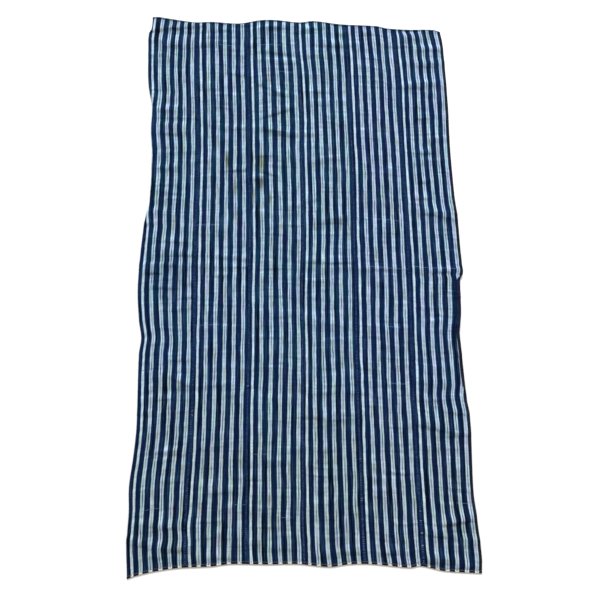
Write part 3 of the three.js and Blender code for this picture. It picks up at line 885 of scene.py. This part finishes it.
# Old stains, and one painted shade where the cloth slopes away from the light: where they are, how far they
# reach across and along, and their colour
STAIN_AND_SHADE_SHARE = 0.85
StainOrShade = namedtuple("StainOrShade", "x y reach length colour")
STAINS_AND_SHADE = [
    StainOrShade(-121, 337, 15, 50, "#c2b07c"),
    StainOrShade(-122, 270, 13, 30, "#a88a6c"),
    StainOrShade(-226, 340, 8, 46, "#b09c6a"),
    StainOrShade(-147, 342, 6, 44, "#b5aa86"),
    StainOrShade(-199, 253, 7, 44, "#c0b08a"),
    StainOrShade(-92, 221, 6, 28, "#c0b08a"),
    StainOrShade(-142, 235, 4, 40, "#b3a079"),
    StainOrShade(462, -170, 6, 16, "#7a4a44"),
    StainOrShade(-314, -712, 8, 24, "#3a3a40"),
    StainOrShade(-309, -722, 6, 20, "#3a3a40"),
    StainOrShade(-315, -684, 5, 9, "#4a4a50"),
    # Painted shade, where the cloth slopes away from the light
    StainOrShade(-398, -18, 95, 95, "#ccd2da"),
]


# What each part of a strip's material is made from: its nodes, its woven place, that place's distances across
# and along, and the strip's number
Weave = namedtuple("Weave", "tree place across along strip")


def warp_stripes(tree, stripes, u):
    """Where the yarn at a distance across a strip is white, in the narrow stripe, or in a midline."""
    half_pitch = stripes.pitch / 2
    from_first = add(tree, "Math", u, stripes.first_wide, operation="SUBTRACT")
    wrapped = add(tree, "Math", from_first, half_pitch, -half_pitch, operation="WRAP")
    from_wide = add(tree, "Math", wrapped, operation="ABSOLUTE")
    in_wide = add(tree, "MapRange", from_wide, WIDE_HALF + YARN_STEP, WIDE_HALF - YARN_STEP)
    past_narrow = add(tree, "Math", u, stripes.first_wide - half_pitch, operation="GREATER_THAN")
    last_side = stripes.first_wide + (2 * WIDE_STRIPES - 1) * half_pitch
    before_last = add(tree, "Math", u, last_side, operation="LESS_THAN")
    wide = add(tree, "Math", add(tree, "Math", in_wide, past_narrow, **PRODUCT), before_last, **PRODUCT)
    aside = add(tree, "Math", u, stripes.narrow, operation="SUBTRACT")
    from_narrow = add(tree, "Math", aside, operation="ABSOLUTE")
    narrow = add(tree, "MapRange", from_narrow, NARROW_HALF + YARN_STEP, NARROW_HALF - YARN_STEP)
    white = add(tree, "Math", wide, narrow, operation="MAXIMUM")
    near_midline = add(tree, "MapRange", from_wide, MIDLINE_HALF + YARN_STEP, MIDLINE_HALF - YARN_STEP)
    midline = add(tree, "Math", near_midline, wide, **PRODUCT)
    return white, narrow, midline


def indigo_yarns(weave):
    """Indigo: deep blue, greener towards the far hem, streaky, in places redder, nearly black or faded."""
    tree, place, across, along, strip = weave
    cast = STRIPES[strip].greenness
    greener = add(tree, "MapRange", along, 100, 1100, -0.75, 0.1)
    vat = unevenness(tree, place, 14, 110, cast - 0.5, cast + 1.4, strip * 1.3 + 1)
    teal_share = add(tree, "Math", vat, greener)
    plum_share = unevenness(tree, place, 16, 80, -1.8, 0.9, strip * 1.9 + 2)
    blacker = add(tree, "MapRange", along, 620, 100, 0.0, 0.2)
    streaks = unevenness(tree, place, 6, 190, -1.15, 0.9, strip * 2.9 + 3)
    black_share = add(tree, "Math", add(tree, "Math", streaks, 0.0, operation="MAXIMUM"), blacker)
    faded_share = unevenness(tree, place, 5, 75, -0.85, 0.48, strip * 2.7 + 18)

    # The selvedge yarns, which the sewing has rubbed, are paler and redder
    from_selvedge = add(tree, "Math", across, STRIP_WIDTH / 2, operation="PINGPONG")
    at_selvedge = add(tree, "MapRange", from_selvedge, SELVEDGE + 0.5, SELVEDGE - 0.5, 0.0, 0.7)

    indigo = add(tree, "Mix", teal_share, linear(INDIGO_DEEP), linear(INDIGO_TEAL), **COLOUR_MIX)
    for share, dye in (
        (plum_share, INDIGO_PLUM),
        (black_share, INDIGO_BLACK),
        (faded_share, INDIGO_FADED),
        (at_selvedge, SELVEDGE_INDIGO),
    ):
        indigo = add(tree, "Mix", share, indigo, linear(dye), **COLOUR_MIX)
    return indigo


def white_yarns(weave, white, narrow, midline):
    """White: sky blue, lavender, mint or grey along each yarn, brighter in the narrow stripe, dyed in a wide
    one's midline and blued at its edges."""
    tree, place, _, _, strip = weave
    cast = STRIPES[strip].greenness
    mint_share = unevenness(tree, place, 9, 95, -0.7, 1.3, strip * 2.1 + 4)
    lavender_share = unevenness(tree, place, 8, 80, -1.2 - cast, 1.1 - cast, strip * 1.1 + 12)
    grey_share = unevenness(tree, place, 11, 60, -1.7, 1.0, strip * 1.7 + 15)
    bright_share = add(tree, "Math", narrow, 0.6, **PRODUCT)
    midline_tone = unevenness(tree, place, 20, 70, 0.35, 1.15, strip * 3.1 + 5)
    midline_share = add(tree, "Math", midline, midline_tone, **PRODUCT)
    edge_share = add(tree, "MapRange", white, 1.0, 0.35, 0.0, 0.75)
    pale = add(tree, "Mix", mint_share, linear(WHITE_SKY), linear(WHITE_MINT), **COLOUR_MIX)
    for share, dye in (
        (lavender_share, WHITE_LAVENDER),
        (grey_share, WHITE_GREY),
        (bright_share, WHITE_BRIGHT),
        (midline_share, MIDLINE_BLUE),
        (edge_share, EDGE_BLUE),
    ):
        pale = add(tree, "Mix", share, pale, linear(dye), **COLOUR_MIX)
    return pale


def marked(weave, colour, waver):
    """A strip's colour with its pale weft yarns, the dark one, its stains and one painted shade."""
    tree, place, across, along, strip = weave
    for pick in (*PALE_PICKS, DARK_PICK):
        at_strip, middle, height = woven_place((pick.x_from + pick.x_to) / 2, pick.y)
        if at_strip != strip:
            continue
        half = (pick.x_to - pick.x_from) / 2
        yarn, strength = (INDIGO_BLACK, 0.6) if pick is DARK_PICK else (PICK_BLUE, 0.3)
        in_length = add(tree, "Math", across, middle, half, operation="COMPARE")
        in_width = add(tree, "Math", add(tree, "Math", along, waver), height, PICK_HALF, operation="COMPARE")
        in_yarn = add(tree, "Math", in_length, in_width, **PRODUCT)
        share = add(tree, "Math", in_yarn, strength, **PRODUCT)
        colour = add(tree, "Mix", share, colour, linear(yarn), **COLOUR_MIX)
    for stain_or_shade in STAINS_AND_SHADE:
        at_strip, middle, height = woven_place(stain_or_shade.x, stain_or_shade.y)
        if at_strip != strip:
            continue
        stretch = (1 / MM / stain_or_shade.reach, 1 / MM / stain_or_shade.length, 1)
        moved = (-middle / stain_or_shade.reach, -height / stain_or_shade.length, 0)
        centred = add(tree, "Mapping", place, moved, (0, 0, 0), stretch)
        reach = add(tree, "VectorMath", centred, operation="LENGTH").outputs["Value"]
        share = add(tree, "MapRange", reach, 1.0, 0.3, 0.0, STAIN_AND_SHADE_SHARE)
        colour = add(tree, "Mix", share, colour, linear(stain_or_shade.colour), **COLOUR_PRODUCT)
    return colour


def shaded_and_toned(weave, colour, white):
    """A strip's colour, a little lighter or darker from yarn to yarn and from beat to beat, with its hems'
    colours and its painted shade.
    """
    tree, place, across, along, strip = weave
    yarn_tone = unevenness(tree, place, 3.2, 55, 0.79, 1.18, strip + 6)
    beat_tone = unevenness(tree, place, 60, 6, 0.9, 1.09, strip + 7)
    band_tone = unevenness(tree, place, 140, 26, 0.93, 1.07, strip + 8)
    tone = add(tree, "Math", add(tree, "Math", yarn_tone, beat_tone, **PRODUCT), band_tone, **PRODUCT)
    toned = add(tree, "Mix", 1.0, colour, tone, **COLOUR_PRODUCT)

    # Painted shade: darker and warmer towards the near end, and less so in the last two strips
    near_shade_share = add(tree, "MapRange", along, 620, 220, 0.0, 1.0)
    near_shade_tint = NEAR_END_SHADE_RIGHT if strip >= STRIPS - 2 else NEAR_END_SHADE
    toned = add(tree, "Mix", near_shade_share, toned, linear(near_shade_tint), **COLOUR_PRODUCT)

    # Painted shade along the right selvedge
    if strip == STRIPS - 1:
        shaded_from = STRIP_WIDTH - SHADED_SIDE
        at_side = add(tree, "MapRange", across, shaded_from - 2, shaded_from + 2, 0.0, 0.8)
        toned = add(tree, "Mix", at_side, toned, linear(EDGE_SHADE), **COLOUR_MIX)

    # The far hem's outer edge has painted shade. On the near hem the indigo is nearly black and the white
    # creamy, its outer edge has painted shade tinted brown by light off the floor, and its thread line is
    # partly a painted highlight where the roll faces the light
    far_edge = CLOTH_LENGTH - FAR_EDGE
    at_far_edge = add(tree, "MapRange", along, far_edge - 1.5, far_edge + 1.5, 0.0, 0.8)
    in_near_hem = add(tree, "MapRange", along, HEM_ROLL + YARN_STEP, HEM_ROLL - YARN_STEP, 0.0, 0.85)
    dark = add(tree, "Math", 1.0, white, operation="SUBTRACT")
    black_share = add(tree, "Math", in_near_hem, dark, **PRODUCT)
    cream_share = add(tree, "Math", in_near_hem, white, **PRODUCT)
    at_near_edge = add(tree, "MapRange", along, NEAR_EDGE + YARN_STEP, NEAR_EDGE - YARN_STEP, 0.0, 0.6)
    on_thread_highlight = add(tree, "Math", along, HEM_THREAD_HIGHLIGHT_LINE, 0.7, operation="COMPARE")
    thread_highlight_share = add(tree, "Math", on_thread_highlight, 0.45, **PRODUCT)
    for share, tint in (
        (at_far_edge, HEM_SHADE),
        (black_share, HEM_BLACK),
        (cream_share, HEM_CREAM),
        (at_near_edge, NEAR_EDGE_SHADE),
        (thread_highlight_share, HEM_THREAD_HIGHLIGHT),
    ):
        toned = add(tree, "Mix", share, toned, linear(tint), **COLOUR_MIX)
    return toned


def striped_cotton(strip):
    """Warp-striped handspun cotton in plain weave: matt and a little fuzzy, its white warp blued by the
    indigo weft, its indigo uneven from vat to vat and from yarn to yarn."""
    material = bpy.data.materials.new(f"striped_cotton_{strip + 1}")
    tree = new_tree(material)
    place = add(tree, "UVMap", uv_map="woven")
    axes = add(tree, "SeparateXYZ", add(tree, "VectorMath", place, (1 / MM, 1 / MM, 0), **PRODUCT))
    across, along = axes.outputs[0], axes.outputs[1]
    weave = Weave(tree, place, across, along, strip)

    # Warp yarns wander sideways by about a millimetre
    wander = unevenness(tree, place, 40, 170, -0.8, 0.8, strip * 2.3, 1.0)
    waver = unevenness(tree, place, 12, 34, -0.45, 0.45, strip * 1.7)
    u = add(tree, "Math", add(tree, "Math", across, wander), waver)
    white, narrow, midline = warp_stripes(tree, STRIPES[strip], u)
    pale = white_yarns(weave, white, narrow, midline)
    dyed = add(tree, "Mix", white, indigo_yarns(weave), pale, **COLOUR_MIX)
    # Painted shade goes on here: towards the near end, along the right selvedge and at the hems' edges
    colour = shaded_and_toned(weave, marked(weave, dyed, waver), white)

    # Plain weave, in relief
    yarns = add(tree, "Math", u, math.tau / WEAVE_REPEAT, **PRODUCT)
    yarn_wave = add(tree, "Math", yarns, operation="SINE")
    beats = add(tree, "Math", along, math.tau / WEAVE_REPEAT, **PRODUCT)
    beat_wave = add(tree, "Math", beats, operation="SINE")
    over_under = add(tree, "Math", yarn_wave, beat_wave, **PRODUCT)
    slubs = unevenness(tree, place, 3, 9, -0.6, 0.6, strip + 9)
    relief = add(tree, "Math", over_under, slubs)
    bump = add(tree, "Bump", named={"Strength": 0.5, "Distance": 0.0003, "Height": relief})
    finish = {"Roughness": 0.95, "Specular IOR Level": 0.03, "Normal": bump}
    add(tree, "OutputMaterial", add(tree, "BsdfPrincipled", colour, named=finish))
    return material


# Sewing: slanting stitches of indigo thread over each seam, and running stitches along each hem
STITCH_SPACING = 4.6
STITCH_BITE = 2.5
STITCH_RISE = 0.6
STITCH_SLANT = (0.2, 1.4)
SEAM_END = 6
THREAD_RADIUS = 0.42
HEM_STITCH_SPACING = 7.0
HEM_STITCH_LENGTH = (3.8, 5.4)
HEM_SEWING_START = 4
HEM_SEWING_END = 10
NEAR_HEM_SEWING = 5.2
FAR_HEM_SEWING = CLOTH_LENGTH - 5.0
SEWING_SEED = 5

# Ends and knots of pale thread left on the seams: where they lie and how far they run
LooseEnd = namedtuple("LooseEnd", "seam x y run_x run_y")
LOOSE_ENDS = [
    LooseEnd(0, -305, -410, 5.0, 2.0),
    LooseEnd(0, -305, -421, 4.0, -2.0),
    LooseEnd(1, -149, -341, 6.0, 1.5),
    LooseEnd(3, 168, -540, 5.0, 1.0),
    LooseEnd(3, 168, -643, 6.0, 0.5),
    LooseEnd(3, 168, -648, 6.0, 0.5),
    LooseEnd(4, 327, -676, 5.0, 1.0),
    LooseEnd(4, 327, -700, 5.0, -1.5),
    LooseEnd(4, 327, -731, 5.5, 1.0),
    LooseEnd(4, 327, -763, 5.0, 1.5),
]


def sewn_stitch():
    """One stitch as it shows, five millimetres long: a low arch of thread with closed ends."""
    radius = (STITCH_BITE**2 + STITCH_RISE**2) / (2 * STITCH_RISE)
    half_angle = math.asin(STITCH_BITE / radius)
    bm = bmesh.new()
    ring = bmesh.ops.create_circle(bm, segments=5, radius=THREAD_RADIUS)["verts"]
    tilt = Matrix.Rotation(math.pi / 2, 4, "Y")
    bmesh.ops.transform(bm, matrix=Matrix.Translation((0, 0, radius)) @ tilt, verts=ring)
    bmesh.ops.rotate(bm, cent=(0, 0, 0), matrix=Matrix.Rotation(-half_angle, 3, "Y"), verts=ring)
    bmesh.ops.spin(bm, geom=bm.edges[:], cent=(0, 0, 0), axis=(0, 1, 0), angle=2 * half_angle, steps=4)
    bmesh.ops.holes_fill(bm, edges=bm.edges[:], sides=5)
    bmesh.ops.recalc_face_normals(bm, faces=bm.faces[:])
    bmesh.ops.translate(bm, vec=(0, 0, STITCH_RISE - radius), verts=bm.verts[:])
    mesh = bpy.data.meshes.new("stitch")
    bm.to_mesh(mesh)
    bm.free()
    return mesh


def sew(name, stitches, seed, *threads):
    """Sews stitches, each given by its start, its end and the number of its thread, as one piece."""
    dice = random.Random(seed)
    stitch = sewn_stitch()
    bm = bmesh.new()
    for start, end, thread in stitches:
        start, end = Vector(start), Vector(end)
        run = end - start
        turned = Matrix.Rotation(math.atan2(run.y, run.x), 4, "Z")
        drawn = Matrix.Diagonal((run.length / (2 * STITCH_BITE), 1, dice.uniform(0.7, 1.15), 1))
        bm.from_mesh(stitch)
        bm.verts.ensure_lookup_table()
        bm.faces.ensure_lookup_table()
        fresh = bm.verts[-len(stitch.vertices) :]
        bmesh.ops.transform(bm, matrix=Matrix.Translation((start + end) / 2) @ turned @ drawn, verts=fresh)
        for face in bm.faces[-len(stitch.polygons) :]:
            face.material_index = thread
    bmesh.ops.scale(bm, vec=(MM, MM, MM), verts=bm.verts[:])
    mesh = bpy.data.meshes.new(name)
    bm.to_mesh(mesh)
    bm.free()
    bpy.data.meshes.remove(stitch)
    return show(mesh, name, *threads)


def cloth_top(strip, distance, along):
    """Points on a strip's upper face."""
    distance, along = np.broadcast_arrays(np.asarray(distance, float), np.asarray(along, float))
    x, y, height, lift = lay_points(strip, distance.copy(), along.copy())
    return np.stack([x, y, height + lift + thickness_at(along)], axis=1)


def sew_seam(seam, *threads):
    """Slanting stitches all along one seam, in the first two threads, with its loose ends in the last."""
    dice = random.Random(SEWING_SEED + seam)
    count = int((CLOTH_LENGTH - 2 * SEAM_END) / STITCH_SPACING)
    along = np.array([SEAM_END + (n + dice.uniform(-0.2, 0.2)) * STITCH_SPACING for n in range(count)])
    slant = np.array([dice.uniform(*STITCH_SLANT) for _ in range(count)])
    reach = STITCH_BITE - SEAM_GAP / 2
    starts = cloth_top(seam, STRIP_WIDTH - reach, along - slant / 2)
    ends = cloth_top(seam + 1, reach, along + slant / 2)
    stitches = [(start, end, dice.choices((0, 1), (7, 9))[0]) for start, end in zip(starts, ends)]
    for loose in LOOSE_ENDS:
        if loose.seam != seam:
            continue
        height = woven_place(loose.x, loose.y)[2]
        middle = cloth_top(seam + 1, [0.5], [height])[0] + (0, 0, 0.5)
        half_run = np.array([loose.run_x, loose.run_y, 0]) / 2
        stitches.append((middle - half_run, middle + half_run, len(threads) - 1))
    return sew(f"seam_stitches_{seam + 1}", stitches, SEWING_SEED + seam, *threads)


def sew_hem(name, strip, along, *threads):
    """Running stitches across one strip, near its end."""
    dice = random.Random(SEWING_SEED + strip + int(along))
    places = np.arange(HEM_SEWING_START, STRIP_WIDTH - HEM_SEWING_END, HEM_STITCH_SPACING)
    lengths = np.array([dice.uniform(*HEM_STITCH_LENGTH) for _ in places])
    shifts = np.array([dice.uniform(-0.4, 0.4) for _ in places])
    starts = cloth_top(strip, places, along + shifts)
    ends = cloth_top(strip, places + lengths, along + shifts)
    stitches = [(start, end, dice.choices((0, 1), (9, 7))[0]) for start, end in zip(starts, ends)]
    return sew(name, stitches, SEWING_SEED + strip, *threads)


def sewing_thread(name, thread_colour, faded_colour):
    """Handspun cotton sewing thread: matt, twisted, and faded in stretches."""
    material = bpy.data.materials.new(name)
    tree = new_tree(material)
    place = add(tree, "TexCoord").outputs["Object"]
    stretches = add(tree, "TexNoise", place, 14.0, 2.0)
    faded = add(tree, "MapRange", stretches, 0.4, 0.62)
    colour = add(tree, "Mix", faded, linear(thread_colour), linear(faded_colour), data_type="RGBA")
    twist = add(tree, "TexNoise", place, 1800.0, 2.0)
    bump = add(tree, "Bump", named={"Strength": 0.4, "Distance": 0.0002, "Height": twist})
    finish = {"Roughness": 0.9, "Specular IOR Level": 0.06, "Normal": bump}
    add(tree, "OutputMaterial", add(tree, "BsdfPrincipled", colour, named=finish))
    return material


def pale_floor():
    """A pale painted floor: matt and even, so that only the cloth's soft shadow shows on it."""
    material = bpy.data.materials.new("pale_floor")
    tree = new_tree(material)
    finish = {"Roughness": 0.9, "Specular IOR Level": 0.1}
    add(tree, "OutputMaterial", add(tree, "BsdfPrincipled", linear("#f8f8f6"), named=finish))
    return material


# In metres: the floor's reach to each side, and how far under the cloth it lies
FLOOR_REACH = 8.0
FLOOR_DROP = 0.0004


def make_floor():
    bm = bmesh.new()
    bmesh.ops.create_grid(bm, x_segments=1, y_segments=1, size=FLOOR_REACH)
    bmesh.ops.translate(bm, vec=(0, 0, -FLOOR_DROP), verts=bm.verts[:])
    mesh = bpy.data.meshes.new("floor")
    bm.to_mesh(mesh)
    bm.free()
    show(mesh, "floor", pale_floor())


def make_lights():
    """Soft low daylight from beyond the far hem, a cool lamp nearer that end, and an even pale sky."""
    sun = bpy.data.lights.new("daylight", "SUN")
    sun.energy = 3.9
    sun.angle = math.radians(14)
    sun.color = (1.0, 0.995, 0.985)
    daylight = bpy.data.objects.new("daylight", sun)
    daylight.rotation_euler = Euler((math.radians(-62), 0, math.radians(8)))
    bpy.context.scene.collection.objects.link(daylight)

    area = bpy.data.lights.new("cool_lamp", "AREA")
    area.shape = "RECTANGLE"
    area.size = 2.4
    area.size_y = 0.8
    area.energy = 14.0
    area.color = (0.75, 0.9, 1.0)
    lamp = bpy.data.objects.new("cool_lamp", area)
    lamp.location = (0.9, 1.9, 1.2)
    lamp.rotation_euler = Euler((math.radians(-53), 0, 0))
    bpy.context.scene.collection.objects.link(lamp)

    world = bpy.data.worlds.new("sky")
    world.use_nodes = True
    background = world.node_tree.nodes["Background"]
    background.inputs[0].default_value = (1.0, 0.995, 0.98, 1.0)
    background.inputs[1].default_value = 0.5
    bpy.context.scene.world = world
    bpy.context.scene.view_settings.view_transform = "Standard"


make_floor()
make_lights()
indigo_thread = sewing_thread("indigo_thread", "#24386a", "#3c5488")
faded_thread = sewing_thread("faded_indigo_thread", "#3c5288", "#5f78ae")
white_thread = sewing_thread("white_thread", "#8f9bb8", "#c3cbd6")
brown_thread = sewing_thread("browned_thread", "#362f36", "#5c525c")

strips = [lay_strip(strip) for strip in range(STRIPS)]
seam_sewing = [sew_seam(seam, indigo_thread, faded_thread, white_thread) for seam in range(STRIPS - 1)]
near_sewing = [
    sew_hem(f"near_hem_stitches_{strip + 1}", strip, NEAR_HEM_SEWING, brown_thread, indigo_thread)
    for strip in range(STRIPS)
]
far_sewing = [
    sew_hem(f"far_hem_stitches_{strip + 1}", strip, FAR_HEM_SEWING, indigo_thread, faded_thread)
    for strip in range(STRIPS)
]
for piece in (*seam_sewing, *near_sewing, *far_sewing):
    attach(piece, "root")

# Flat, each strip is 1.655 m long. As laid here they measure 1.64 to 1.68 m over their folds and wrinkles
for index, piece in enumerate(strips):
    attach(piece, "root")
    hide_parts(f"strip_{index + 1}")
